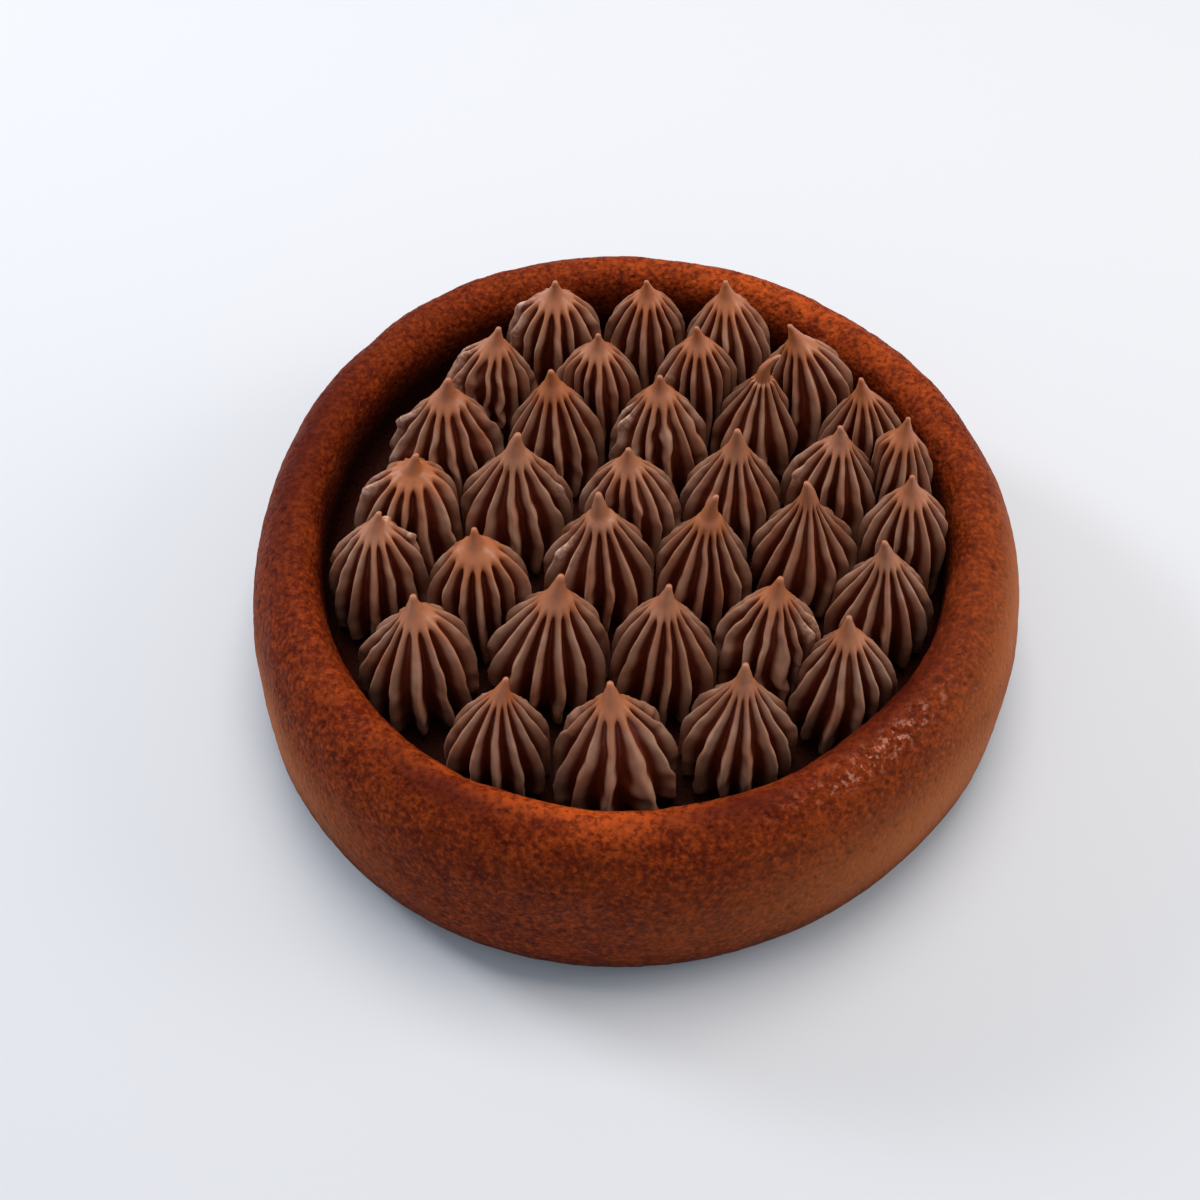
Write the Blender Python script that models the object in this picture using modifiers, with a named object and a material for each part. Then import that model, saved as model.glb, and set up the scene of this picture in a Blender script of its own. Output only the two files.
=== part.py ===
# Sunken chocolate cake: a low round sponge with a raised rim, its hollow filled with
# piped chocolate stars. Metres, +Z up, origin in the middle of the underside.
import math
import random

import bmesh
import bpy
from mathutils import Vector

MM = 0.001

# Sponge, turned about Z
CAKE_RADIUS = 100 * MM        # widest, low on the side
CAKE_HEIGHT = 49.7 * MM       # top of the rim
WIDEST_HEIGHT = 10.4 * MM     # the side tucks in below this
BASE_RADIUS = 91.6 * MM       # flat underside
CREST_RADIUS = 84.5 * MM      # top line of the rim
CRUST_STEPS = 72              # sides round the cake
SIDE_STEPS = 6                # facets down the outside
TUCK_STEPS = 3

# Hollow in the top
FLOOR_HEIGHT = 25 * MM
WALL_RADIUS = 78 * MM
FLOOR_FILLET = 4.5 * MM
FILLET_STEPS = 3
RIM_INNER_HEIGHT = 41.5 * MM  # the wall starts to roll over into the rim here
RIM_INNER_STEPS = 4

# A baked cake is a little out of round: share of the radius, twice and three times round
OVAL = 0.0150
THREE_LOBED = 0.0125

# Piped stars
RIDGES = 12
GROOVE_DEPTH = 0.28           # share of the radius between two ridges
STAR_HEIGHT = 38.5 * MM
TIP_HEIGHT_SPREAD = 1.5 * MM
FOOT_SPREAD = 1.03            # front to back, a foot stands this much further out than its tip
TIP_BEND = 3                  # above 1 the axis stands straight and leans only near the tip
TOUCH_GAP = 0.3 * MM          # between a star and the floor or its neighbour
WALL_GAP = 0.8 * MM
WALL_PRESS = 0.8              # a star beside the wall stands this share of its radius from it
FITTING_ROUNDS = 3            # a star pressed from several sides takes a few rounds to fit
STAR_SEED = 5

# One star from its tip down: share of the height, share of the belly radius, ridge depth
STAR_RINGS = [
    (0.11, 0.09, 0.0),        # foot of the thin tip
    (0.19, 0.24, 0.05),       # smooth cap
    (0.29, 0.43, 0.50),       # the ridges start
    (0.42, 0.64, 0.95),
    (0.58, 0.86, 1.0),
    (0.77, 1.00, 1.0),        # belly, low on the star
    (1.00, 0.93, 1.0),        # foot on the floor
]

# Each star in millimetres, piped row by row from the front: its tip's place, how far its foot
# stands to the right of the tip, and its width
STAR_ROWS = [
    [(-28, -59, -4, 26), (-6, -61, 1, 31), (23, -56, 0, 28)],
    [(-49, -36, -2, 30), (-16, -33, -4, 31), (7, -36, 0, 28), (32, -33, 0, 28), (46, -44, 2, 27)],
    [(-59, -12, -3, 27), (-36, -18, -1, 27), (-8, -9, 1, 30), (19, -10, -2, 27), (41, -6, 2, 29),
     (57, -22, 3, 27)],
    [(-51, 5, -4, 30), (-27, 9, -2, 32), (-1, 6, 1, 28), (26, 11, 0, 28), (51, 12, 1, 28),
     (65, -5, 3, 26)],
    [(-44, 28, -3, 32), (-19, 32, 0, 28), (8, 30, 0, 28), (35, 36, -1, 27), (57, 28, 4, 26),
     (67, 14, 3, 24)],
    [(-32, 45, -4, 28), (-7, 44, -1, 26), (18, 45, 1, 26), (41, 44, 6, 30)],
    [(-18, 62, -1, 28), (6, 64, 0, 26), (26, 63, 3, 28)],
]

MERGE_DISTANCE = 0.01 * MM
SHARP_ANGLE = math.radians(50)


def swell(angle):
    """How far the outline at this angle stands out from a true circle."""
    return 1 - OVAL * math.cos(2 * angle) + THREE_LOBED * math.cos(3 * angle)


def outline_middle():
    """Middle of the outline's own box, so that the cake can be centred on it."""
    angles = [2 * math.pi * i / CRUST_STEPS for i in range(CRUST_STEPS)]
    xs = [CAKE_RADIUS * swell(a) * math.cos(a) for a in angles]
    ys = [CAKE_RADIUS * swell(a) * math.sin(a) for a in angles]
    return Vector(((max(xs) + min(xs)) / 2, (max(ys) + min(ys)) / 2, 0))


def quarter(middle, half_width, half_height, start, stop, steps):
    """Points of an elliptic arc in the XZ plane, angles in degrees from +X."""
    points = []
    for i in range(steps + 1):
        a = math.radians(start + (stop - start) * i / steps)
        points.append((middle[0] + half_width * math.cos(a), middle[1] + half_height * math.sin(a)))
    return points


def cake_profile():
    """Section from the middle of the hollow's floor, over the rim and down to the underside."""
    floor_fillet = quarter((WALL_RADIUS - FLOOR_FILLET, FLOOR_HEIGHT + FLOOR_FILLET),
                           FLOOR_FILLET, FLOOR_FILLET, -90, 0, FILLET_STEPS)
    inner_rim = quarter((CREST_RADIUS, RIM_INNER_HEIGHT),
                        CREST_RADIUS - WALL_RADIUS, CAKE_HEIGHT - RIM_INNER_HEIGHT,
                        180, 90, RIM_INNER_STEPS)
    outer_side = quarter((CREST_RADIUS, WIDEST_HEIGHT),
                         CAKE_RADIUS - CREST_RADIUS, CAKE_HEIGHT - WIDEST_HEIGHT,
                         90, 0, SIDE_STEPS)
    tuck = quarter((BASE_RADIUS, WIDEST_HEIGHT),
                   CAKE_RADIUS - BASE_RADIUS, WIDEST_HEIGHT, 0, -90, TUCK_STEPS)
    return [(0, FLOOR_HEIGHT)] + floor_fillet + inner_rim + outer_side[1:] + tuck[1:] + [(0, 0)]


def material(name, colour, roughness):
    made = bpy.data.materials.new(name)
    made.use_nodes = True
    shader = made.node_tree.nodes["Principled BSDF"]
    shader.inputs["Base Color"].default_value = (*colour, 1)
    shader.inputs["Roughness"].default_value = roughness
    shader.inputs["Metallic"].default_value = 0.0
    return made


def add_object(name, mesh, collection, finish):
    placed = bpy.data.objects.new(name, mesh)
    collection.objects.link(placed)
    mesh.materials.append(finish)
    return placed


def make_cake(collection, finish, middle):
    """The sponge: a turned section, then pushed slightly out of round."""
    outline = bpy.data.meshes.new("cake_section")
    points = cake_profile()
    edges = [(i, i + 1) for i in range(len(points) - 1)]
    outline.from_pydata([(r, 0, z) for r, z in points], edges, [])
    turned = bpy.data.objects.new("cake_turned", outline)
    collection.objects.link(turned)
    screw = turned.modifiers.new("turn", "SCREW")
    screw.steps = screw.render_steps = CRUST_STEPS
    screw.use_merge_vertices = True
    screw.merge_threshold = MERGE_DISTANCE
    bpy.context.view_layer.update()
    graph = bpy.context.evaluated_depsgraph_get()
    mesh = bpy.data.meshes.new_from_object(turned.evaluated_get(graph))
    bpy.data.objects.remove(turned)
    for vertex in mesh.vertices:
        push = swell(math.atan2(vertex.co.y, vertex.co.x))
        vertex.co = Vector((vertex.co.x * push, vertex.co.y * push, vertex.co.z)) - middle
    mesh.shade_smooth()
    mesh.set_sharp_from_angle(angle=SHARP_ANGLE)
    return add_object("cake", mesh, collection, finish)


def hollow_radius(height):
    """Radius of the hollow at this height, following the fillet at its floor."""
    above = height - FLOOR_HEIGHT
    if above >= FLOOR_FILLET:
        return WALL_RADIUS
    drop = FLOOR_FILLET - above
    return WALL_RADIUS - FLOOR_FILLET + math.sqrt(max(0.0, FLOOR_FILLET ** 2 - drop ** 2))


def hold_in_hollow(point):
    """Move a point of a star inwards until it clears the wall of the hollow."""
    room = hollow_radius(point.z) * swell(math.atan2(point.y, point.x)) - WALL_GAP
    reach = math.hypot(point.x, point.y)
    if reach > room:
        point.x *= room / reach
        point.y *= room / reach


def hold_from_neighbours(point, own, others):
    """Press a point of a star back to the flat where it meets each neighbour."""
    for other in others:
        across = other["middle"] - own["middle"]
        distance = across.length
        across.normalize()
        share = (distance ** 2 + own["radius"] ** 2 - other["radius"] ** 2) / (2 * distance)
        excess = (point - own["middle"]).dot(across) - (share - TOUCH_GAP / 2)
        if excess > 0:
            point -= across * excess


def plan_stars():
    """Place and size of every star; those beside the wall move in until they fit."""
    draw = random.Random(STAR_SEED)
    stars = []
    for row in STAR_ROWS:
        for x, y, lean, width in row:
            radius = width / 2 * MM
            tip = Vector((x, y, 0)) * MM
            middle = Vector((x + lean, y * FOOT_SPREAD, 0)) * MM
            room = WALL_RADIUS - radius * WALL_PRESS
            if middle.length > room:
                middle *= room / middle.length
            stars.append({
                "middle": middle,
                "radius": radius,
                "tip": tip,
                "height": STAR_HEIGHT + draw.uniform(-1, 1) * TIP_HEIGHT_SPREAD,
                "turn": draw.uniform(0, 2 * math.pi / RIDGES),
            })
    return stars


def make_star(name, star, others, collection, finish, middle):
    """One piped star: a sphere drawn out to a tip, its sides folded into ridges."""
    made = bmesh.new()
    columns = 2 * RIDGES
    rings = len(STAR_RINGS) + 1
    bmesh.ops.create_uvsphere(made, u_segments=columns, v_segments=rings, radius=1)
    foot = FLOOR_HEIGHT + TOUCH_GAP
    for vertex in made.verts:
        polar = math.acos(max(-1.0, min(1.0, vertex.co.z)))
        ring = round(polar / math.pi * rings)
        column = round(math.atan2(vertex.co.y, vertex.co.x) / (2 * math.pi / columns))
        if ring == 0:
            down, spread, depth = 0.0, 0.0, 0.0
        elif ring == rings:
            down, spread, depth = 1.0, 0.0, 0.0
        else:
            down, spread, depth = STAR_RINGS[ring - 1]
        fold = 1 - GROOVE_DEPTH * depth * (column % 2)
        angle = column * 2 * math.pi / columns + star["turn"]
        reach = star["radius"] * spread * fold
        axis = star["middle"].lerp(star["tip"], (1 - down) ** TIP_BEND)
        point = axis + Vector((math.cos(angle), math.sin(angle), 0)) * reach
        point.z = foot + star["height"] * (1 - down)
        for _ in range(FITTING_ROUNDS):
            hold_from_neighbours(point, star, others)
            hold_in_hollow(point)
        vertex.co = point - middle
    mesh = bpy.data.meshes.new(name)
    made.to_mesh(mesh)
    made.free()
    mesh.shade_smooth()
    mesh.set_sharp_from_angle(angle=SHARP_ANGLE)
    return add_object(name, mesh, collection, finish)


def main():
    for old in list(bpy.data.objects):
        bpy.data.objects.remove(old)
    collection = bpy.data.collections.new("chocolate_cake")
    bpy.context.scene.collection.children.link(collection)
    crust = material("baked_chocolate_crust", (0.165, 0.038, 0.013), 0.75)
    ganache = material("piped_chocolate", (0.060, 0.022, 0.012), 0.40)
    middle = outline_middle()
    make_cake(collection, crust, middle)
    stars = plan_stars()
    for number, star in enumerate(stars, start=1):
        others = [other for other in stars if other is not star]
        make_star(f"star_{number:02d}", star, others, collection, ganache, middle)


main()
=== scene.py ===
# Chocolate cake, its sunken top filled with piped stars: fine shape, finishes, light and camera.
import math

import bpy
import numpy as np
from mathutils import Matrix, Vector
from mathutils.kdtree import KDTree


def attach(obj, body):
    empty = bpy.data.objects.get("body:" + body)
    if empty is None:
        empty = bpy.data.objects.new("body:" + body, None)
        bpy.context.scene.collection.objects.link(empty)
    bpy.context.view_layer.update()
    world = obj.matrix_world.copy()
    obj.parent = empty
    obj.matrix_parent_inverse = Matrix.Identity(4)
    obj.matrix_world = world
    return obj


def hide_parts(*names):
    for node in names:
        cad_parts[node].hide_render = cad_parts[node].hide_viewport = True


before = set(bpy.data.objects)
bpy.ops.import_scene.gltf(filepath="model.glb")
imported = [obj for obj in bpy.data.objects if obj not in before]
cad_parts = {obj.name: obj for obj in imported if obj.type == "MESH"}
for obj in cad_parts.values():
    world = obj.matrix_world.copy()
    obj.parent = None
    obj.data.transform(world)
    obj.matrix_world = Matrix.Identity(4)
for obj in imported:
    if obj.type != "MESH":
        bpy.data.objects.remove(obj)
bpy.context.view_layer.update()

mm = 0.001
fullTurn = 2 * math.pi
upward = np.array([0, 0, 1.0])
print("frame loaded,", len(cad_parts), "nodes")


# Helpers used by every piece

noise = {
    "axisPrimes": np.array([73856093, 19349663, 83492791]),   # these primes only scatter the values
    "seedPrime": 40503,
    "mixPrime": 1274126177,
    "seedShift": 7.31,           # blobs by which each seed moves the pattern
}


def smoothStep(share):
    # from 0 to 1 with a soft start and a soft end
    return share * share * (3 - 2 * share)


def softNoise(points, size, seed):
    # smooth noise from -1 to 1, one blob about as wide as size
    place = np.asarray(points) / size + seed * noise["seedShift"]
    cell = np.floor(place).astype(np.int64)
    share = smoothStep(place - cell)
    total = np.zeros(place.shape[:-1])
    low32 = 0xffffffff
    low16 = 0xffff
    for corner in range(8):
        step = np.array([corner & 1, corner >> 1 & 1, corner >> 2 & 1])
        key = (cell + step) * noise["axisPrimes"]
        key = (key[..., 0] ^ key[..., 1] ^ key[..., 2] ^ (seed * noise["seedPrime"])) & low32
        key = ((key ^ (key >> 13)) * noise["mixPrime"]) & low32
        value = ((key ^ (key >> 16)) & low16) / (low16 / 2) - 1
        weight = np.prod(np.where(step == 1, share, 1 - share), axis=-1)
        total += value * weight
    return total


def evenAngles(count):
    return np.arange(count) * fullTurn / count


def turnFrom(direction, angles):
    # how far angles are from a direction in degrees, at most half a turn either way
    return (angles - math.radians(direction) + math.pi) % fullTurn - math.pi


def closedGrid(name, topPole, rings, bottomPole, attributes):
    # a closed skin from the top pole, through rings of points, to the bottom pole
    rowCount, columnCount = rings.shape[:2]
    verts = np.vstack([[topPole], rings.reshape(-1, 3), [bottomPole]])
    index = 1 + np.arange(rowCount * columnCount).reshape(rowCount, columnCount)
    right = np.roll(index, -1, axis=1)
    quads = np.stack([index[:-1], index[1:], right[1:], right[:-1]], axis=-1).reshape(-1, 4)
    topFan = [(0, a, b) for a, b in zip(index[0].tolist(), right[0].tolist())]
    last = len(verts) - 1
    bottomFan = [(last, b, a) for a, b in zip(index[-1].tolist(), right[-1].tolist())]
    mesh = bpy.data.meshes.new(name)
    mesh.from_pydata(verts.tolist(), [], topFan + quads.tolist() + bottomFan)
    for label, (atTop, values, atBottom) in attributes.items():
        layer = mesh.attributes.new(label, "FLOAT", "POINT")
        spread = np.concatenate([[atTop], values.ravel(), [atBottom]])
        layer.data.foreach_set("value", spread.astype(np.float32))
    mesh.shade_smooth()
    piece = bpy.data.objects.new(name, mesh)
    bpy.context.scene.collection.objects.link(piece)
    return piece


def finishPiece(piece, material, node):
    piece.data.materials.append(material)
    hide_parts(node)
    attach(piece, "root")


# Sponge: the section is the solid's own, the crust is roughened inwards from it

cake = {
    "radius": 100 * mm,
    "height": 49.7 * mm,
    "crestRadius": 84.5 * mm,
    "wallRadius": 78 * mm,       # inner wall, round the hollow
    "rollHeight": 41.5 * mm,     # the inner wall starts to roll over into the rim
    "floorHeight": 25 * mm,
    "floorFillet": 4.5 * mm,
    "widestHeight": 10.4 * mm,   # below it the side tucks in
    "baseRadius": 91.6 * mm,
    "poleRings": (6 * mm, 10 * mm),   # innermost rings of points, on the floor and on the underside
    "oval": 0.0150,
    "threeLobed": 0.0125,
    "solidSteps": 72,            # points round the solid, whose middle is the frame's middle
    "columns": 900,
    "blendRows": 3,              # rows either way over which smooth skin turns rough
    "lumps": (17 * mm, 0.8 * mm),      # blob size and depth
    "dimples": (5.5 * mm, 0.30 * mm),
    "crumbs": (1.7 * mm, 0.26 * mm),
    "wrinkles": (2.6 * mm, 0.35 * mm),
    "wrinkleSquash": 1.6,        # wrinkles lie this much closer together in height
    "smoothing": 0.75,           # share of the crumbs that is gone from smooth skin
    "pits": 3400,                # burst bubbles left where the batter met the tin
    "pitRadius": (0.40 * mm, 0.95 * mm),
    "pitSkew": 2.2,              # the higher, the fewer large pits
    "pitDepth": 0.42,            # share of the pit's radius
    "pitStretch": 1.6,           # pits on the upright side are drawn out downwards
    "hollowShadeTop": 46 * mm,          # painted shade of the hollow starts at this height
    "hollowShadeFade": (3 * mm, 12 * mm),     # and sets in over this much inwards and downwards
    "flatTop": 0.1 * mm,         # what lies lower is the flat underside
    "seed": 11,
    # how the skin, and the light and shade painted on it, differ round the cake: what, direction
    # in degrees from the right turning to the back, radius and height in mm, how far it reaches in
    # degrees and mm
    "patches": [
        # painted light on the top of the rim
        ("bright", 266, 82, 48, 30, 6),
        ("bright", 60, 84, 49, 30, 6),
        # smooth skin, lightened by a painted sheen
        ("smooth", 318, 99, 22, 30, 15),
        ("smooth", 345, 96, 35, 24, 12),
        ("smooth", 207, 99, 20, 20, 11),
        ("wrinkled", 318, 86, 49, 20, 5),
        ("wrinkled", 262, 98, 30, 16, 7),
        # painted shade on parts of the rim
        ("moist", 316, 81, 47, 26, 6),
        # painted glints along the crest
        ("wet", 308, 88, 49, 13, 3),
        # painted shade on parts of the rim
        ("moist", 285, 84, 49, 12, 5),
        ("moist", 242, 86, 49, 13, 4),
        ("moist", 166, 87, 48, 32, 7),
    ],
}
patchKinds = sorted({row[0] for row in cake["patches"]})


def swell(angle):
    return 1 - cake["oval"] * np.cos(2 * angle) + cake["threeLobed"] * np.cos(3 * angle)


def outlineMiddle():
    angles = evenAngles(cake["solidSteps"])
    reach = cake["radius"] * swell(angles)
    xs = reach * np.cos(angles)
    ys = reach * np.sin(angles)
    return np.array([(xs.max() + xs.min()) / 2, (ys.max() + ys.min()) / 2, 0])


cakeMiddle = outlineMiddle()     # the frame's origin, seen from the axis of the radii


def arc(middle, halfWidth, halfHeight, start, stop, steps):
    turn = np.radians(np.linspace(start, stop, steps + 1))
    return np.stack([middle[0] + halfWidth * np.cos(turn),
                     middle[1] + halfHeight * np.sin(turn)], axis=1)


def line(start, stop, steps):
    return np.linspace(start, stop, steps + 1)


def cakeSection():
    # radius and height down the skin, and how rough each point may be
    innerWidth = cake["crestRadius"] - cake["wallRadius"]
    outerWidth = cake["radius"] - cake["crestRadius"]
    tuckWidth = cake["radius"] - cake["baseRadius"]
    fillet = cake["floorFillet"]
    filletTop = cake["floorHeight"] + fillet
    filletStart = cake["wallRadius"] - fillet
    floorRing, undersideRing = cake["poleRings"]
    # each stretch is a curve of so many rows, and how rough it is
    stretches = [
        (line((floorRing, cake["floorHeight"]), (filletStart, cake["floorHeight"]), 5), 0.0),
        (arc((filletStart, filletTop), fillet, fillet, -90, 0, 4), 0.3),
        (line((cake["wallRadius"], filletTop), (cake["wallRadius"], cake["rollHeight"]), 9), 0.8),
        (arc((cake["crestRadius"], cake["rollHeight"]), innerWidth,
             cake["height"] - cake["rollHeight"], 180, 90, 15), 1.0),
        (arc((cake["crestRadius"], cake["widestHeight"]), outerWidth,
             cake["height"] - cake["widestHeight"], 90, 0, 56), 1.0),
        (arc((cake["baseRadius"], cake["widestHeight"]), tuckWidth,
             cake["widestHeight"], 0, -90, 13), 0.6),
        (line((cake["baseRadius"], 0), (undersideRing, 0), 3), 0.0),
    ]
    points = np.vstack([stretches[0][0]] + [curve[1:] for curve, _ in stretches[1:]])
    rough = np.concatenate([np.full(len(stretches[0][0]), stretches[0][1])]
                           + [np.full(len(curve) - 1, amount) for curve, amount in stretches[1:]])
    window = 2 * cake["blendRows"] + 1
    padded = np.pad(rough, cake["blendRows"], mode="edge")
    rough = np.convolve(padded, np.ones(window) / window, mode="valid")
    rough[points[:, 1] < cake["flatTop"]] = 0
    return points, rough


def scatterPits(surface, along, rough, draw):
    # depth of the pits at every point of the skin, and how strongly shade is painted in them
    flat = surface.reshape(-1, 3)
    tree = KDTree(len(flat))
    for i, point in enumerate(flat):
        tree.insert(point, i)
    tree.balance()
    depth = np.zeros(len(flat))
    strength = np.zeros(len(flat))
    along = along.reshape(-1, 3)
    area = np.linalg.norm(flat[:, :2], axis=1) * rough.ravel()
    smallest, largest = cake["pitRadius"]
    for seat in draw.choice(len(flat), size=cake["pits"], p=area / area.sum()):
        radius = smallest + (largest - smallest) * draw.random() ** cake["pitSkew"]
        upright = abs(along[seat][2])
        stretch = 1 + (cake["pitStretch"] - 1) * upright * draw.random()
        near = [i for _, i, _ in tree.find_range(flat[seat], radius * stretch)]
        offset = flat[near] - flat[seat]
        lengthwise = offset @ along[seat]
        crosswise = np.sqrt(np.maximum(0, (offset ** 2).sum(axis=1) - lengthwise ** 2))
        share = np.clip(1 - (lengthwise / (radius * stretch)) ** 2 - (crosswise / radius) ** 2, 0, 1)
        strength[near] = np.maximum(strength[near], np.sqrt(share))
        depth[near] = np.maximum(depth[near], radius * cake["pitDepth"] * share)
    return depth.reshape(surface.shape[:2]), strength.reshape(surface.shape[:2])


def crustPatch(kind, section, angles):
    # strength of one kind of patch at every point of the skin
    total = np.zeros((len(section), len(angles)))
    for name, direction, radius, height, halfAngle, halfWidth in cake["patches"]:
        if name == kind:
            away = np.hypot(section[:, 0] - radius * mm, section[:, 1] - height * mm) / (halfWidth * mm)
            turned = turnFrom(direction, angles) / math.radians(halfAngle)
            total = np.maximum(total, np.exp(-away[:, None] ** 2 - turned[None] ** 2))
    return total


def blobs(surface, kind, seed):
    # unevenness of one kind, from 0 to its depth
    size, depth = cake[kind]
    return (softNoise(surface, size, seed) + 1) / 2 * depth


def makeCake():
    draw = np.random.default_rng(cake["seed"])
    section, rough = cakeSection()
    slope = np.gradient(section, axis=0)
    slope /= np.linalg.norm(slope, axis=1)[:, None]
    angles = evenAngles(cake["columns"])
    outward = np.stack([np.cos(angles), np.sin(angles), np.zeros_like(angles)], axis=1)
    push = swell(angles)[None, :, None]
    surface = section[:, 0, None, None] * outward[None] * push
    surface = surface + section[:, 1, None, None] * upward
    normals = -slope[:, 1, None, None] * outward[None] + slope[:, 0, None, None] * upward
    along = slope[:, 0, None, None] * outward[None] + slope[:, 1, None, None] * upward
    roughGrid = np.repeat(rough[:, None], len(angles), axis=1)
    patches = {kind: crustPatch(kind, section, angles) for kind in patchKinds}
    calm = 1 - cake["smoothing"] * patches["smooth"]
    pitDepth, pitShadeStrength = scatterPits(surface, along, roughGrid * calm ** 2, draw)
    lumps = blobs(surface, "lumps", 1)
    dimples = blobs(surface, "dimples", 2)
    crumbs = blobs(surface, "crumbs", 3) * calm
    wrinkleSize, wrinkleDepth = cake["wrinkles"]
    wrinkles = 1 - np.abs(softNoise(surface * [1, 1, cake["wrinkleSquash"]], wrinkleSize, 4))
    wrinkles = wrinkles * patches["wrinkled"] * wrinkleDepth
    depth = (lumps + dimples + crumbs + wrinkles) * roughGrid + pitDepth * np.sqrt(roughGrid)
    surface = surface - normals * depth[:, :, None] - cakeMiddle
    # painted shade down in the hollow, deepening inwards from the crest and downwards
    fadeInwards, fadeDownwards = cake["hollowShadeFade"]
    hollowShadeShare = np.clip((cake["crestRadius"] - section[:, 0]) / fadeInwards, 0, 1)
    hollowShadeShare = hollowShadeShare * np.clip((cake["hollowShadeTop"] - section[:, 1]) / fadeDownwards, 0, 1)
    hollowShadeShare = hollowShadeShare * (section[:, 1] > cake["flatTop"])
    hollowShadeGrid = np.repeat(hollowShadeShare[:, None], len(angles), axis=1)
    layers = {"pitShade": (0, pitShadeStrength, 0), "hollowShade": (1, hollowShadeGrid, 0)}
    layers.update({kind: (0, values, 0) for kind, values in patches.items()})
    floorMiddle = upward * cake["floorHeight"] - cakeMiddle
    return closedGrid("cakeCrust", floorMiddle, surface, -cakeMiddle, layers)


# Piped stars: tip, height and ridge angle are read from each solid, the rest is in the dictionary

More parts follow.
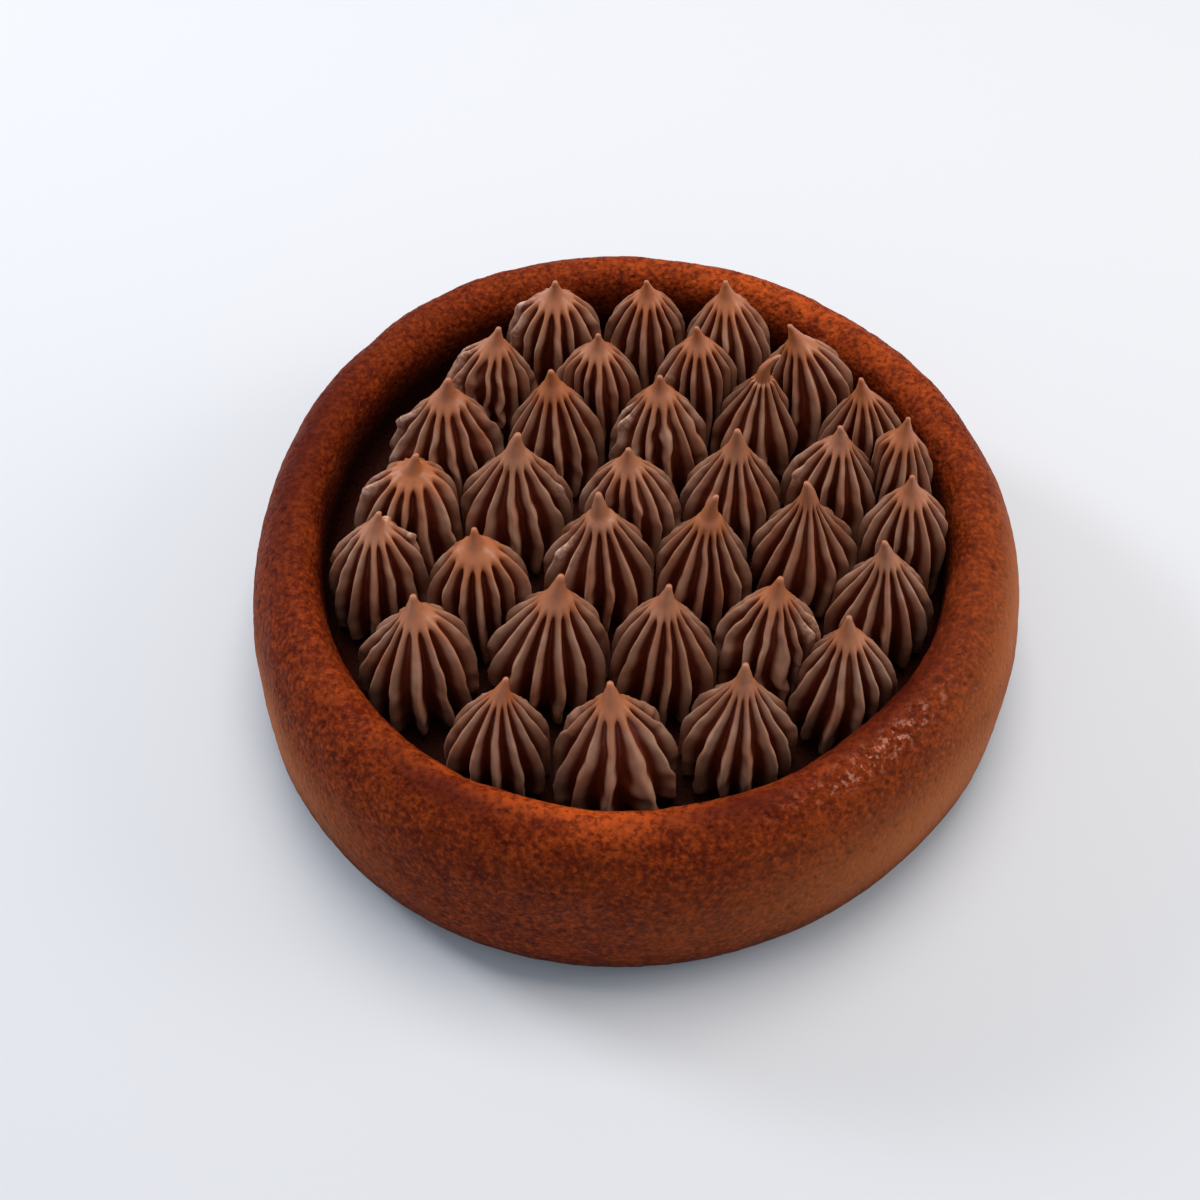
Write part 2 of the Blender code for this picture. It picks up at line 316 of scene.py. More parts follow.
piping = {
    "ridges": 13,
    "pointsPerRidge": 14,
    "rows": 46,
    "curveSteps": 12,            # points on the curve between two rows of the profile
    "slenderness": 2.6,          # height over radius, to space the rows evenly
    "grooveDepth": 0.36,         # share of the radius
    "sharpness": (0.45, 0.12 / mm),   # ridges stand apart more sharply where they are further apart
    "capFade": 0.10,             # share of the height over which the grooves deepen
    "capColour": (0.12, 0.10),   # its warm colour ends this far below the cap, faded over so much
    "ridgeBand": (0.20, 0.35),   # shares of the height between which the solid's ridges are read
    "bulge": (0.5, 0.035, 0.3),       # size in radii, share of the radius, share of the height to set in
    "crumple": (2.4 * mm, 0.22 * mm, 0.25),   # fine unevenness: size, depth, likewise
    "tornCrumple": 3.0,          # how much rougher the skin is round a lump, where it tore and curled
    "tornReach": 1.5,            # widths of a lump over which the skin is torn
    "touchGap": 0.3 * mm,
    "wallGap": 0.8 * mm,
    "leastRoom": 0.2 * mm,
    "flatness": 18.0,            # the higher, the flatter a star lies against its neighbours
    "slimBack": 0.35,            # how much slimmer than its sides the back of a star is
    "tipBend": 0.7 * mm,
    "bendFade": (0.16, 1.6),     # share of the height over which the bend dies away, and its power
    "leanPower": 3,              # the body stands straight and leans only near the tip
    "footSpread": 1.03,          # front to back, a foot stands this much further out than its tip
    "wallPress": 0.8,            # beside the wall a foot keeps this share of its radius clear
    "seed": 2300,                # of the first star, and each next star has the next
    # the thin tip, in shares of the height down and of the widest radius
    "tip": {
        "blunt": (0.006, 0.042),      # down and radius, just below the point
        "foot": (0.02, 0.9, 0.16),    # radius at its foot: start, growth with its length, and most
        "middle": (0.015, 0.5),       # radius halfway: start, and share of the foot's
        "fullFoot": 1.2,              # how much wider the foot is on a full star
        "clearance": 0.02,            # the body's profile starts at least this far below it
    },
    # below the thin tip: share of the height down, then the share of the widest radius
    # on a slim star and on a full one
    "profile": [
        (0.135, 0.135, 0.190),
        (0.170, 0.185, 0.290),
        (0.210, 0.250, 0.400),
        (0.260, 0.330, 0.520),
        (0.340, 0.470, 0.670),
        (0.420, 0.605, 0.790),
        (0.520, 0.765, 0.895),
        (0.620, 0.900, 0.965),
        (0.700, 0.975, 0.995),
        (0.780, 1.000, 1.000),
        (0.900, 1.000, 1.000),
        (0.970, 0.960, 0.960),
        (1.000, 0.880, 0.880),
    ],
    # how the ridges stray on their way down, with sizes in radii and heights in shares
    "stray": {
        "height": 1.6,                # of the waves' pattern on a star; the lower, the longer the waves
        "slow": (0.55, 0.3),          # size of the slow waves, and the share of them at the tip
        "quick": (0.4, 3, 0.5, 0.4),  # size, squash in height, strength, and height to set in
        "hook": (0.62, 1.5, 2.0),     # where the ridges' feet turn aside, with what power and gain
    },
    # lowest and highest of what differs by chance from star to star or ridge to ridge
    "chance": {
        "crestShift": (-0.12, 0.12),  # in spacings of the ridges, as twist, hook and wander are
        "crestHeight": (0.96, 1.02),
        "grooveDepth": (0.8, 1.1),
        "bend": (0.2, 1),             # share of tipBend
        "twist": (-0.35, 0.35),
        "hook": (0.2, 0.8),
        "wander": (0.10, 0.20),
        "warmth": (0.5, 1),
    },
    # how each star came out, row by row from the front: how far its foot stands to the right of
    # the tip and its width, in mm, length of its thin tip in mm, share of the height where its
    # smooth cap ends, and how full its left and right sides are (0 slim, 1 full)
    "forms": [
        (-4, 26, 2.5, 0.16, 0.3, 0.3), (1, 31, 2.0, 0.18, 0.4, 0.5), (0, 28, 4.0, 0.20, -0.1, 0.0),
        (-2, 30, 3.5, 0.19, 0.0, 1.2), (-4, 31, 5.5, 0.22, 0.0, 0.4), (0, 28, 3.5, 0.19, 0.7, 0.2),
        (0, 28, 5.0, 0.18, 0.7, 0.3), (2, 27, 3.5, 0.20, 0.2, 0.5),
        (-3, 27, 3.5, 0.18, 0.7, 1.2), (-1, 27, 5.5, 0.22, 1.0, 1.1), (1, 30, 7.0, 0.24, -0.1, 0.0),
        (-2, 27, 7.0, 0.25, -0.2, 0.0), (2, 29, 6.0, 0.18, 0.0, -0.5), (3, 27, 4.0, 0.20, 0.0, 0.1),
        (-4, 30, 5.5, 0.19, 1.1, 1.3), (-2, 32, 5.5, 0.22, -0.2, 0.2), (1, 28, 3.5, 0.18, 0.8, 0.8),
        (0, 28, 4.5, 0.23, 0.0, -0.1), (1, 28, 2.5, 0.18, 1.0, 0.1), (3, 26, 3.0, 0.19, 0.7, 0.8),
        (-3, 32, 6.0, 0.22, 0.2, 0.4), (0, 28, 5.0, 0.22, 0.2, 0.3), (0, 28, 5.0, 0.21, 0.5, 0.5),
        (-1, 27, 9.0, 0.23, -0.5, -0.5), (4, 26, 3.5, 0.18, 0.3, 0.5), (3, 24, 3.5, 0.19, 0.9, 0.6),
        (-4, 28, 4.5, 0.19, 0.9, 0.6), (-1, 26, 3.5, 0.18, 1.2, 1.2), (1, 26, 5.0, 0.19, 0.9, 0.8),
        (6, 30, 3.0, 0.19, 0.1, 0.9),
        (-1, 28, 4.0, 0.19, 1.3, 1.3), (0, 26, 3.0, 0.18, 1.0, 1.0), (3, 28, 3.5, 0.19, 0.5, 1.0),
    ],
    # what sets a star apart: its number of ridges, warmth of its cap, how many times further its
    # ridges wander, its tip's bend as (direction, mm), and lumps as (direction, down, width mm,
    # rise mm), with directions in degrees from the right, turning to the back
    "quirks": {
        "star_01": {"ridges": 12, "warmth": 1.0},
        "star_02": {"ridges": 11, "warmth": 0.9, "wander": 2.4, "lumps": [(-88, 0.84, 3.2, 2.6)]},
        "star_07": {"wander": 2.0, "lumps": [(-20, 0.45, 3.0, 1.6), (-45, 0.62, 2.6, 1.4)]},
        "star_09": {"lumps": [(50, 0.16, 1.2, 1.6), (20, 0.36, 1.8, 1.0)]},
        "star_11": {"lumps": [(200, 0.46, 2.4, 1.4)]},
        "star_15": {"wander": 1.8, "lumps": [(175, 0.34, 2.0, 1.6), (205, 0.52, 2.0, 1.4)]},
        "star_16": {"lumps": [(0, 0.50, 1.8, 1.0)]},
        "star_17": {"wander": 1.6, "lumps": [(215, 0.50, 2.0, 1.2)]},
        "star_19": {"lumps": [(180, 0.44, 2.2, 1.6)]},
        "star_21": {"wander": 1.8, "lumps": [(175, 0.42, 2.4, 2.4), (210, 0.62, 2.0, 1.8)]},
        "star_23": {"wander": 2.4, "lumps": [(190, 0.40, 2.6, 1.6), (225, 0.60, 2.0, 1.4)]},
        "star_24": {"bend": (-10, 3.0)},
        "star_25": {"warmth": 1.0},
        "star_26": {"warmth": 1.0},
        "star_27": {"wander": 2.2, "lumps": [(165, 0.30, 2.0, 1.8), (205, 0.44, 2.4, 1.8),
                                             (236, 0.52, 1.8, 1.3)]},
        "star_29": {"lumps": [(200, 0.44, 2.2, 1.4)]},
        "star_30": {"warmth": 1.0},
        "star_31": {"wander": 1.6, "lumps": [(170, 0.30, 2.2, 1.6), (200, 0.42, 2.0, 1.4)]},
        "star_32": {"warmth": 1.0},
        "star_33": {"warmth": 1.0},
    },
}
# the first of the noise seeds for each use, so that no two stars share a pattern
noiseSeeds = {"slow": 40, "quick": 140, "bulge": 90, "crumple": 200}


def starOutline(tipLength):
    # Catmull-Rom through tip and body, in rows evenly spaced along the skin: down, slim, full
    tip = piping["tip"]
    bluntDown, bluntReach = tip["blunt"]
    footStart, footGrowth, footMost = tip["foot"]
    footReach = min(footMost, footStart + footGrowth * tipLength)
    middleReach = tip["middle"][0] + tip["middle"][1] * footReach
    thinTip = [
        (0, 0, 0),
        (bluntDown, bluntReach, bluntReach),
        (tipLength * 0.5, middleReach, middleReach),
        (tipLength, footReach, tip["fullFoot"] * footReach),
    ]
    body = [row for row in piping["profile"] if row[0] > tipLength + tip["clearance"]]
    points = np.array(thinTip + body)
    padded = np.vstack([2 * points[0] - points[1], points, 2 * points[-1] - points[-2]])
    t = np.linspace(0, 1, piping["curveSteps"], endpoint=False)[:, None]
    fine = []
    for a, b, c, d in zip(padded, padded[1:], padded[2:], padded[3:]):
        fine.append(0.5 * (2 * b + (c - a) * t + (2 * a - 5 * b + 4 * c - d) * t ** 2
                           + (3 * b - a - 3 * c + d) * t ** 3))
    fine = np.vstack(fine + [points[-1:]])
    steps = np.hypot(np.diff(fine[:, 0]) * piping["slenderness"], np.diff(fine[:, 1]))
    length = np.concatenate([[0], np.cumsum(steps)])
    even = np.linspace(0, length[-1], piping["rows"] + 1)[1:]
    return np.stack([np.interp(even, length, column) for column in fine.T], axis=1)


def readStar(name, form):
    # a star's place, height and ridge angle, from the points of its solid
    points = np.array([v.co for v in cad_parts[name].data.vertices])
    tip = points[points[:, 2].argmax()]
    footHeight = points[:, 2].min()
    height = tip[2] - footHeight
    lean, width = form[:2]
    radius = width / 2 * mm
    centre = cakeMiddle[:2]
    middle = (tip[:2] + centre) * [1, piping["footSpread"]] + [lean * mm, 0]
    room = cake["wallRadius"] - piping["wallPress"] * radius
    middle = middle * min(1, room / np.linalg.norm(middle)) - centre
    down = (tip[2] - points[:, 2]) / height
    axis = middle + (tip[:2] - middle) * ((1 - down) ** piping["leanPower"])[:, None]
    offset = points[:, :2] - axis
    bandTop, bandFoot = piping["ridgeBand"]
    band = (down > bandTop) & (down < bandFoot)
    crest = offset[np.where(band, np.linalg.norm(offset, axis=1), 0).argmax()]
    return {
        "name": name,
        "form": form,
        "middle": middle,
        "tip": tip[:2],
        "foot": footHeight,
        "height": height,
        "radius": radius,
        "phase": math.atan2(crest[1], crest[0]),
    }


def roomAround(star, others, axis, rays):
    # how far each ray may run before it meets a neighbour's flat or the hollow's wall
    grazing = 0.05               # a ray less turned towards a neighbour than this never meets it
    noLimit = 1.0                # metres
    rooms = []
    for other in others:
        across = other["middle"] - star["middle"]
        distance = np.linalg.norm(across)
        across = across / distance
        share = (distance ** 2 + star["radius"] ** 2 - other["radius"] ** 2) / (2 * distance)
        limit = share - piping["touchGap"] / 2 - (axis - star["middle"]) @ across
        towards = rays @ across
        rooms.append(np.where(towards > grazing, limit / np.maximum(towards, grazing), noLimit))
    centre = axis + cakeMiddle[:2]
    heading = np.arctan2(centre[1] + rays[:, 1] * star["radius"], centre[0] + rays[:, 0] * star["radius"])
    wall = cake["wallRadius"] * swell(heading) - piping["wallGap"]
    along = rays @ centre
    rooms.append(-along + np.sqrt(np.maximum(0, along ** 2 + wall ** 2 - centre @ centre)))
    return np.array(rooms)


def drawTraits(star, number, quirks):
    # what chance gives a star, unless its quirks say otherwise
    draw = np.random.default_rng(piping["seed"] + number)
    chance = piping["chance"]
    ridges = quirks.get("ridges", piping["ridges"])
    period = fullTurn / ridges
    crestShifts = draw.uniform(*chance["crestShift"], ridges)
    crestHeights = draw.uniform(*chance["crestHeight"], ridges)
    grooveDepths = draw.uniform(*chance["grooveDepth"], ridges)
    bend = (draw.uniform(0, 360), piping["tipBend"] / mm * draw.uniform(*chance["bend"]))
    bendAngle, bendReach = quirks.get("bend", bend)      # degrees and mm
    bendAngle = math.radians(bendAngle)
    bendWay = np.array([math.cos(bendAngle), math.sin(bendAngle)])
    return {
        "ridges": ridges,
        "period": period,
        "crests": star["phase"] + (np.arange(ridges) + crestShifts) * period,
        "crestHeights": crestHeights,
        "grooveDepths": grooveDepths,
        "bend": bendWay * bendReach * mm,
        "twist": draw.uniform(*chance["twist"]) * period,
        "hook": draw.choice([-1, 1]) * draw.uniform(*chance["hook"]) * period,
        "wander": draw.uniform(*chance["wander"]) * period * quirks.get("wander", 1),
        "warmth": quirks.get("warmth", draw.uniform(*chance["warmth"])),
    }


def ridgeShift(traits, seat, down, number):
    # how far round the star its ridges have strayed at this height: waves, twist and hooked feet
    stray = piping["stray"]
    slowSize, slowAtTip = stray["slow"]
    quickSize, squash, quickShare, quickStart = stray["quick"]
    hookStart, hookPower, hookGain = stray["hook"]
    wander = traits["wander"]
    slow = softNoise(seat, slowSize, noiseSeeds["slow"] + number)
    quick = softNoise(seat * [1, 1, squash], quickSize, noiseSeeds["quick"] + number)
    shift = slow * wander * (slowAtTip + (1 - slowAtTip) * down)
    shift = shift + quick * wander * quickShare * min(1, down / quickStart)
    shift = shift + traits["twist"] * down
    return shift + traits["hook"] * max(0.0, down - hookStart) ** hookPower * hookGain


def makeStar(star, others, number):
    quirks = piping["quirks"].get(star["name"], {})
    tipLength, capEnd, fullLeft, fullRight = star["form"][2:]
    traits = drawTraits(star, number, quirks)
    ridges = traits["ridges"]
    crests = traits["crests"]
    columns = piping["ridges"] * piping["pointsPerRidge"]
    angles = evenAngles(columns)
    rays = np.stack([np.cos(angles), np.sin(angles)], axis=1)
    full = (fullLeft + fullRight) / 2 + (fullRight - fullLeft) / 2 * np.cos(angles)
    full = full - piping["slimBack"] * np.maximum(0, np.sin(angles))
    bendHeight, bendPower = piping["bendFade"]
    bulgeSize, bulgeShare, bulgeStart = piping["bulge"]
    crumpleSize, crumpleDepth, crumpleStart = piping["crumple"]
    colourEnd, colourFade = piping["capColour"]
    known = np.concatenate([crests[-1:] - fullTurn, crests, crests[:2] + fullTurn])
    rings, grooveShades, caps, tornGlints = [], [], [], []
    for down, slimReach, fullReach in starOutline(tipLength * mm / star["height"]):
        # the grooves start a third of their fade above the end of the cap
        cut = (down - capEnd + piping["capFade"] / 3) / piping["capFade"]
        cut = smoothStep(min(1.0, max(0.0, cut)))
        axis = star["middle"] + (star["tip"] - star["middle"]) * (1 - down) ** piping["leanPower"]
        axis = axis + traits["bend"] * max(0.0, 1 - down / bendHeight) ** bendPower
        # where on the ridges each point is: whole numbers are crests, halves are grooves
        seat = np.column_stack([rays, np.full(columns, down * piping["stray"]["height"])])
        shift = ridgeShift(traits, seat, down, number)
        turned = (angles - star["phase"] - shift) % fullTurn + star["phase"]
        ridge = np.interp(turned, known, np.arange(-1, ridges + 2))
        spacing = star["radius"] * (slimReach + (fullReach - slimReach) * full.mean()) * traits["period"]
        sharpness = piping["sharpness"][0] + piping["sharpness"][1] * spacing
        crest = (0.5 + 0.5 * np.cos(fullTurn * ridge)) ** sharpness
        nearest = np.round(ridge).astype(int) % ridges
        following = np.floor(ridge).astype(int) % ridges
        cutting = cut * (1 - crest) * traits["grooveDepths"][following]
        # how far the skin stands out, before the grooves are pressed in
        bulge = softNoise(seat, bulgeSize, noiseSeeds["bulge"] + number)
        reach = star["radius"] * (slimReach + (fullReach - slimReach) * full)
        reach = reach * (1 + bulgeShare * bulge * min(1, down / bulgeStart))
        reach = reach * (1 - (1 - traits["crestHeights"][nearest]) * cut)
        torn = np.zeros(columns)
        for direction, lumpDown, width, rise in quirks.get("lumps", []):
            apart = turnFrom(direction, angles)
            square = (apart * reach) ** 2 + ((down - lumpDown) * star["height"]) ** 2
            reach = reach + rise * mm * np.exp(-square / (width * mm) ** 2)
            torn = np.maximum(torn, np.exp(-square / (piping["tornReach"] * width * mm) ** 2))
        place = np.column_stack([axis + rays * reach[:, None], np.full(columns, down * star["height"])])
        crumple = crumpleDepth * (1 + piping["tornCrumple"] * torn) * min(1, down / crumpleStart)
        reach = reach + softNoise(place, crumpleSize, noiseSeeds["crumple"] + number) * crumple
        # a softened minimum of the reach and of the room on every side
        room = np.maximum(roomAround(star, others, axis, rays), piping["leastRoom"])
        power = -piping["flatness"]
        reach = (reach ** power + (room ** power).sum(axis=0)) ** (1 / power)
        reach = reach * (1 - piping["grooveDepth"] * cutting)
        height = star["foot"] + star["height"] * (1 - down)
        rings.append(np.column_stack([axis + rays * reach[:, None], np.full(columns, height)]))
        # how deep the groove is here, for the shade painted in it
        grooveShades.append(np.clip(cutting, 0, 1))
        warm = traits["warmth"] * np.clip((capEnd + colourEnd - down) / colourFade, 0, 1)
        caps.append(np.full(columns, warm))
        # where a ridge tore, for the painted glints
        tornGlints.append(torn)
    topPole = np.append(star["tip"] + traits["bend"], star["foot"] + star["height"])
    bottomPole = np.append(star["middle"], star["foot"])
    return closedGrid(star["name"] + "_piped", topPole, np.array(rings), bottomPole,
                      {"groove": (0, np.array(grooveShades), 0), "cap": (1, np.array(caps), 0),
                       "torn": (0, np.array(tornGlints), 0)})


# Materials

def linear(hexColour):
    # sRGB hex to linear RGBA
    channels = [int(hexColour[i:i + 2], 16) / 255 for i in (1, 3, 5)]
    return tuple(c / 12.92 if c <= 0.04045 else ((c + 0.055) / 1.055) ** 2.4 for c in channels) + (1.0,)


def newMaterial(name):
    made = bpy.data.materials.new(name)
    made.use_nodes = True
    made.node_tree.nodes.clear()
    return made, made.node_tree


def addNode(tree, kind, settings=None, inputs=None):
    # each input, by name or number, takes a value or a socket to link from
    node = tree.nodes.new(kind)
    for name, value in (settings or {}).items():
        setattr(node, name, value)
    for name, value in (inputs or {}).items():
        if isinstance(value, bpy.types.NodeSocket):
            tree.links.new(value, node.inputs[name])
        else:
            node.inputs[name].default_value = value
    return node


def finishShader(tree, finish, base, rough, relief):
    # the end of both foods' materials: relief to bump, and everything into the shader
    bump = addNode(tree, "ShaderNodeBump", None, {
        "Height": relief,
        "Strength": finish["bumpStrength"],
        "Distance": finish["bumpDistance"],
    })
    shader = addNode(tree, "ShaderNodeBsdfPrincipled", None, {
        "Base Color": base,
        "Roughness": rough,
        "Normal": bump.outputs[0],
        "IOR": finish["ior"],
        "Specular IOR Level": finish["specular"],
    })
    addNode(tree, "ShaderNodeOutputMaterial", None, {"Surface": shader.outputs[0]})


# a colour mix takes its share at input 0 and its colours at 6 and 7, and gives the result at output 2
colourMix = {"data_type": "RGBA"}

crustFinish = {
    "brown": "#631e09",          # cocoa sponge crust, most of it
    "rust": "#823410",           # thinner baked skin
    "bright": "#b24b1a",         # painted light on the top of the rim, and light speckles all over
    "tanAndSheen": "#ae6333",            # smooth skin that slid on the greased tin, lightened by a painted sheen
    "maroon": "#46120a",         # moist or over-baked spots, and painted shade on parts of the rim
    "glint": "#c88a74",          # painted glints where wet wrinkles mirror the window
    # painted shade in the pits
    "pitShade": "#34100a",
    # painted shade down in the hollow
    "hollowShade": "#2a0f08",
    "edge": "#240804",           # lower edge, baked darkest and with painted shade where it meets the table
    "edgeHeight": (3 * mm, 15 * mm),  # dark up to the first height, gone at the second
    "edgeShare": 0.9,
    "roughness": (0.43, 0.69),   # 0.55 is typical of a dry crust, and it varies about that
    "glossSize": 6 * mm,
    "wetShine": 0.22,            # how much less rough the wet wrinkles are
    "crumbSize": 1.1 * mm,
    "pinholeGap": 2.3 * mm,
    "pinholeEdge": (0.16, 0.36),      # in gaps between pinholes: full depth, and none
    "pinholeDepth": 0.5,         # against the crumbs'
    "bumpStrength": 0.7,
    "bumpDistance": 0.6 * mm,
    "ior": 1.45,
    "specular": 0.04,            # open crumb soaks up most of the shine
    # colours laid over the brown in turn: blob size in mm (0 is an even coat), noise level where
    # it starts and where it is full, strength, colour, and the patch it keeps to if any
    "layers": [
        (22, 0.40, 0.62, 0.70, "rust", None),
        (6, 0.38, 0.66, 0.70, "rust", None),
        (6, 0.26, 0.54, 1.00, "bright", "bright"),
        (3.2, 0.50, 0.70, 0.62, "maroon", None),
        (1.3, 0.50, 0.36, 0.66, "maroon", None),
        (1.3, 0.52, 0.66, 0.42, "bright", None),
        (0, 0, 1, 0.85, "maroon", "moist"),
        (0, 0, 1, 0.80, "tanAndSheen", "smooth"),
        (1.5, 0.54, 0.64, 0.75, "glint", "wet"),
        (0, 0, 1, 0.35, "pitShade", "pitShade"),
        (0, 0, 1, 1.0, "hollowShade", "hollowShade"),
    ],
}


def bakedCocoaCrust():
    # Cocoa sponge baked against a greased tin: a thin skin with a faint fatty sheen,
    # open pores where bubbles burst, and rusty patches where the skin is thinner.
    finish = crustFinish
    made, tree = newMaterial("bakedCocoaCrust")
    place = addNode(tree, "ShaderNodeTexCoord").outputs["Object"]
    masks = {name: addNode(tree, "ShaderNodeAttribute", {"attribute_name": name}).outputs["Fac"]
             for name in ["pitShade", "hollowShade"] + patchKinds}
    base = linear(finish["brown"])
    for size, low, high, strength, colour, patch in finish["layers"]:
        if size:
            cloud = addNode(tree, "ShaderNodeTexNoise", None, {
                "Vector": place,
                "Scale": 1 / (size * mm),
                "Detail": 3.0,
                "Roughness": 0.6,
            })
            level = cloud.outputs[0]
        else:
            level = masks[patch]
        share = addNode(tree, "ShaderNodeMapRange", None, {
            "Value": level,
            "From Min": low,
            "From Max": high,
            "To Max": strength,
        })
        if size and patch:
            share = addNode(tree, "ShaderNodeMath", {"operation": "MULTIPLY"},
                            {0: share.outputs[0], 1: masks[patch]})
        base = addNode(tree, "ShaderNodeMix", colourMix,
                       {0: share.outputs[0], 6: base, 7: linear(finish[colour])}).outputs[2]
    height = addNode(tree, "ShaderNodeSeparateXYZ", None, {"Vector": place})
    # darker towards the bottom: baked darker, and painted shade where the cake meets the table
    edge = addNode(tree, "ShaderNodeMapRange", {"interpolation_type": "SMOOTHSTEP"}, {
        "Value": height.outputs["Z"],
        "From Min": finish["edgeHeight"][0],
        "From Max": finish["edgeHeight"][1],
        "To Min": finish["edgeShare"],
        "To Max": 0.0,
    })
    base = addNode(tree, "ShaderNodeMix", colourMix,
                   {0: edge.outputs[0], 6: base, 7: linear(finish["edge"])}).outputs[2]
    gloss = addNode(tree, "ShaderNodeTexNoise", None,
                    {"Vector": place, "Scale": 1 / finish["glossSize"], "Detail": 3.0})
    rough = addNode(tree, "ShaderNodeMapRange", None, {
        "Value": gloss.outputs[0],
        "To Min": finish["roughness"][0],
        "To Max": finish["roughness"][1],
    })
    shine = addNode(tree, "ShaderNodeMath", {"operation": "MULTIPLY_ADD"},
                    {0: masks["wrinkled"], 1: -finish["wetShine"], 2: rough.outputs[0]})
    crumb = addNode(tree, "ShaderNodeTexNoise", None,
                    {"Vector": place, "Scale": 1 / finish["crumbSize"], "Detail": 2.0})
    # real pinholes are under 0.5 mm, drawn here 1.2 mm wide at half their depth so that they show
    pinholes = addNode(tree, "ShaderNodeTexVoronoi", None,
                       {"Vector": place, "Scale": 1 / finish["pinholeGap"]})
    pinMask = addNode(tree, "ShaderNodeMapRange", None, {
        "Value": pinholes.outputs["Distance"],
        "From Min": finish["pinholeEdge"][0],
        "From Max": finish["pinholeEdge"][1],
        "To Min": 1.0,
        "To Max": 0.0,
    })
    relief = addNode(tree, "ShaderNodeMath", {"operation": "MULTIPLY_ADD"},
                     {0: pinMask.outputs[0], 1: -finish["pinholeDepth"], 2: crumb.outputs[0]})
    finishShader(tree, finish, base, shine.outputs[0], relief.outputs[0])
    return made


pipedFinish = {
    "crest": "#b28970",          # soft milk-cocoa fudge where the skin catches light
    "tint": "#9f664a",
    "tintLevel": (0.35, 0.70),   # noise level where the tint starts and where it is full
    "tintSize": 9 * mm,
    "cap": "#aa6238",            # smooth top, warmer and duller
    # painted shade deep in the grooves, where two ridges meet
    "groove": "#66260f",
    "grooveLevel": (0.26, 0.58), # depth of a groove where its painted shade starts and where it is full
    "torn": "#dcb8a4",           # painted glints where a ridge tore and curled
    "tornLevel": (0.46, 0.60),
    "smearSize": 1.6 * mm,
    "roughness": (0.31, 0.48),   # about 0.38, a buttery skin
    "roughLevel": (0.3, 0.7),
    "bumpStrength": 0.25,
    "bumpDistance": 0.3 * mm,
    "ior": 1.47,
    "specular": 0.60,
}


def pipedFudge():
    # Soft cocoa fudge, pressed cold through a star nozzle: buttery, so the ridges shine
    # in broken streaks, with painted shade where two ridges meet.
    finish = pipedFinish
    made, tree = newMaterial("pipedFudge")
    place = addNode(tree, "ShaderNodeTexCoord").outputs["Object"]
    masks = {name: addNode(tree, "ShaderNodeAttribute", {"attribute_name": name}).outputs["Fac"]
             for name in ("cap", "groove", "torn")}
    cloud = addNode(tree, "ShaderNodeTexNoise", None,
                    {"Vector": place, "Scale": 1 / finish["tintSize"], "Detail": 3.0})
    smear = addNode(tree, "ShaderNodeTexNoise", None,
                    {"Vector": place, "Scale": 1 / finish["smearSize"], "Detail": 3.0})
    shares = {"cap": masks["cap"]}
    levels = {"tint": cloud.outputs[0], "torn": smear.outputs[0], "groove": masks["groove"]}
    for colour, level in levels.items():
        low, high = finish[colour + "Level"]
        shares[colour] = addNode(tree, "ShaderNodeMapRange", None,
                                 {"Value": level, "From Min": low, "From Max": high}).outputs[0]
    shares["torn"] = addNode(tree, "ShaderNodeMath", {"operation": "MULTIPLY"},
                             {0: shares["torn"], 1: masks["torn"]}).outputs[0]
    base = linear(finish["crest"])
    for colour in ("tint", "cap", "torn", "groove"):
        base = addNode(tree, "ShaderNodeMix", colourMix,
                       {0: shares[colour], 6: base, 7: linear(finish[colour])}).outputs[2]
    rough = addNode(tree, "ShaderNodeMapRange", None, {
        "Value": smear.outputs[0],
        "From Min": finish["roughLevel"][0],
        "From Max": finish["roughLevel"][1],
        "To Min": finish["roughness"][0],
        "To Max": finish["roughness"][1],
    })
    finishShader(tree, finish, base, rough.outputs[0], smear.outputs[0])
    return made


# Build the pieces

finishPiece(makeCake(), bakedCocoaCrust(), "cake")
print("sponge built")

fudge = pipedFudge()
starNames = [name for name in sorted(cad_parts) if name.startswith("star")]
stars = [readStar(name, form) for name, form in zip(starNames, piping["forms"])]
for number, star in enumerate(stars):
    others = [other for other in stars if other is not star]
    finishPiece(makeStar(star, others, number), fudge, star["name"])
print(len(stars), "stars piped")


# Camera, worked out from the outline of the cake in the picture

camera = {
    "elevation": 54.78,          # degrees above the table
    "distance": 400.6 * mm,
    "focal": 1468.9 / 1200,      # share of the picture's width
    "sensorWidth": 36,           # mm
    "roll": -0.83,               # degrees
    "aim": (-7.8 * mm, 6.3 * mm),
    "clipStart": 10 * mm,
}


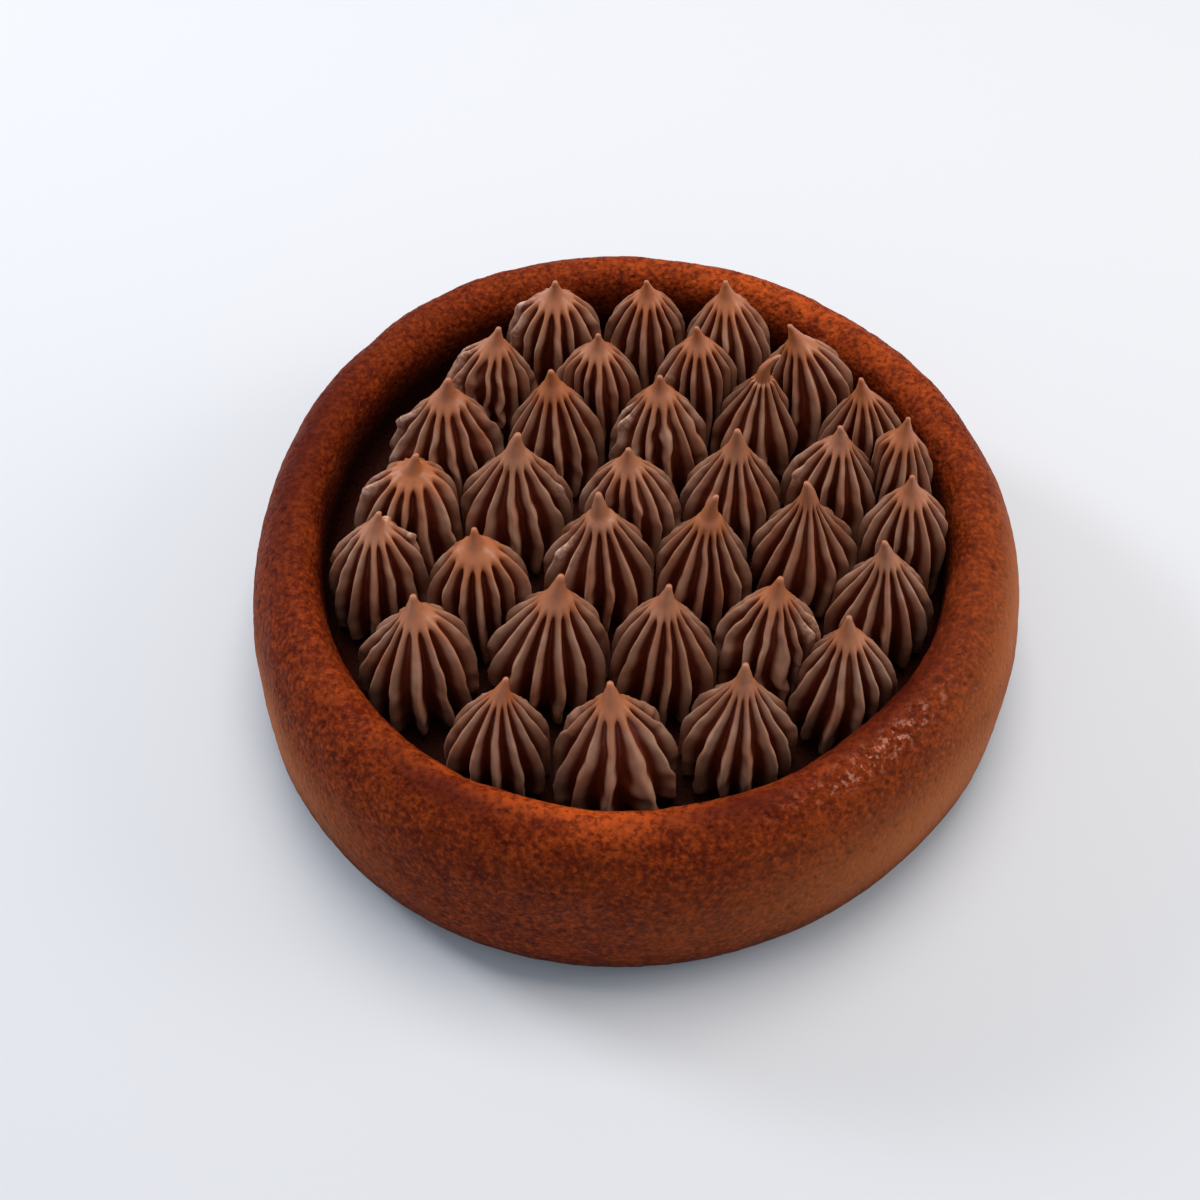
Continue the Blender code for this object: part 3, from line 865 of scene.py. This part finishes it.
def makeCamera():
    tilt = math.radians(camera["elevation"])
    roll = math.radians(camera["roll"])
    back = Vector((0, -math.cos(tilt), math.sin(tilt)))
    right = Vector((1, 0, 0))
    up = back.cross(right)
    turnedRight = right * math.cos(roll) + up * math.sin(roll)
    turnedUp = up * math.cos(roll) - right * math.sin(roll)
    data = bpy.data.cameras.new("camera")
    data.sensor_width = camera["sensorWidth"]
    data.lens = camera["sensorWidth"] * camera["focal"]
    data.clip_start = camera["clipStart"]
    made = bpy.data.objects.new("camera", data)
    turn = Matrix((turnedRight, turnedUp, back)).transposed().to_4x4()
    aim = Vector((*camera["aim"], 0)) - Vector(cakeMiddle)
    turn.translation = aim + back * camera["distance"]
    made.matrix_world = turn
    bpy.context.scene.collection.objects.link(made)
    bpy.context.scene.camera = made


# Stage and light: a pale table in a bright room

stage = {
    "table": "#d3d6da",
    "tableSize": 6,              # metres
    "tableRoughness": 0.85,
    "sky": "#dfe8f5",
    "skyStrength": 0.52,
    # name, place and size in metres, watts, colour
    "lights": [
        ("overhead", (0.05, 0.30, 1.05), 0.60, 8.0, "#fff8f0"),
        ("window", (-0.85, 0.50, 0.62), 0.24, 5.0, "#f4f6ff"),
        ("right", (0.9, 0.05, 0.55), 0.45, 3.2, "#fff2e6"),
    ],
}


def paleTable():
    # Matt laminate, pressed without gloss: an even pale face that takes soft shadows.
    made, tree = newMaterial("paleTable")
    shader = addNode(tree, "ShaderNodeBsdfPrincipled", None,
                     {"Base Color": linear(stage["table"]), "Roughness": stage["tableRoughness"]})
    addNode(tree, "ShaderNodeOutputMaterial", None, {"Surface": shader.outputs[0]})
    return made


def makeStage():
    bpy.ops.mesh.primitive_plane_add(size=stage["tableSize"])
    table = bpy.context.object
    table.name = "table"
    table.data.materials.append(paleTable())
    world = bpy.data.worlds.new("room")
    world.use_nodes = True
    background = world.node_tree.nodes["Background"]
    background.inputs["Color"].default_value = linear(stage["sky"])
    background.inputs["Strength"].default_value = stage["skyStrength"]
    bpy.context.scene.world = world
    for name, place, size, watts, colour in stage["lights"]:
        data = bpy.data.lights.new(name, "AREA")
        data.energy = watts
        data.size = size
        data.color = linear(colour)[:3]
        lamp = bpy.data.objects.new(name, data)
        lamp.location = place
        lamp.rotation_euler = (-Vector(place)).to_track_quat("-Z", "Y").to_euler()
        bpy.context.scene.collection.objects.link(lamp)
    bpy.context.scene.view_settings.view_transform = "Standard"


makeCamera()
makeStage()
print("camera and light set")
